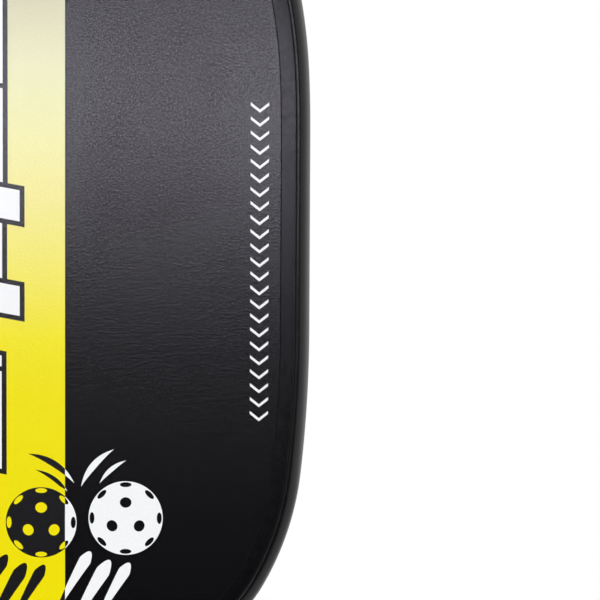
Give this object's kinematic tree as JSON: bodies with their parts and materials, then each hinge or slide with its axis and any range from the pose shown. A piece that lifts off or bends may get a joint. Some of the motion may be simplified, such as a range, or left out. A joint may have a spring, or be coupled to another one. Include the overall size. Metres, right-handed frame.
{
  "type": "pickleball paddle",
  "caption": "Wide-body pickleball paddle: a honeycomb panel with printed faces, a two-step edge guard and an eight-sided handle with a wound grip and flared cap.",
  "frame": {"origin": "middle of the handle, on the handle's axis, where the hand holds the paddle", "axes": "+Z along the handle towards the head, +X across the face, +Y through the thickness: the front face looks along -Y"},
  "size_m": [0.203, 0.0342, 0.406],
  "materials": {
    "core": "natural polypropylene honeycomb, faintly translucent",
    "bond_film": "amber adhesive film",
    "face_sheet": "woven composite laminate, satin resin",
    "printed_film": "satin black printed film with a fine grain and a yellow stripe",
    "guard": "extruded black plastic, satin",
    "guard_tape": "white double-sided adhesive tape",
    "handle_shell": "moulded, fine matt texture",
    "backing_tape": "adhesive backing",
    "grip_wrap": "perforated cushioned synthetic leather, matt",
    "staple": "drawn wire",
    "finishing_tape": "stretch vinyl tape",
    "collar": "moulded rubber band",
    "butt_cap": "moulded, fine matt texture",
    "badge": "plain domed sticker, left blank"
  },
  "bodies": {
    "root": {"honeycomb_core": "core", "front_bond_film": "bond_film", "back_bond_film": "bond_film", "front_face_sheet": "face_sheet", "back_face_sheet": "face_sheet", "front_printed_film": "printed_film", "back_printed_film": "printed_film", "edge_guard": "guard", "edge_guard_tape": "guard_tape", "handle_shell_front": "handle_shell", "handle_shell_back": "handle_shell", "grip_backing_tape": "backing_tape", "grip_wrap": "grip_wrap", "grip_staples": "staple", "finishing_tape": "finishing_tape", "grip_collar": "collar", "butt_cap": "butt_cap", "butt_cap_badge": "badge"}
  },
  "joints": []
}
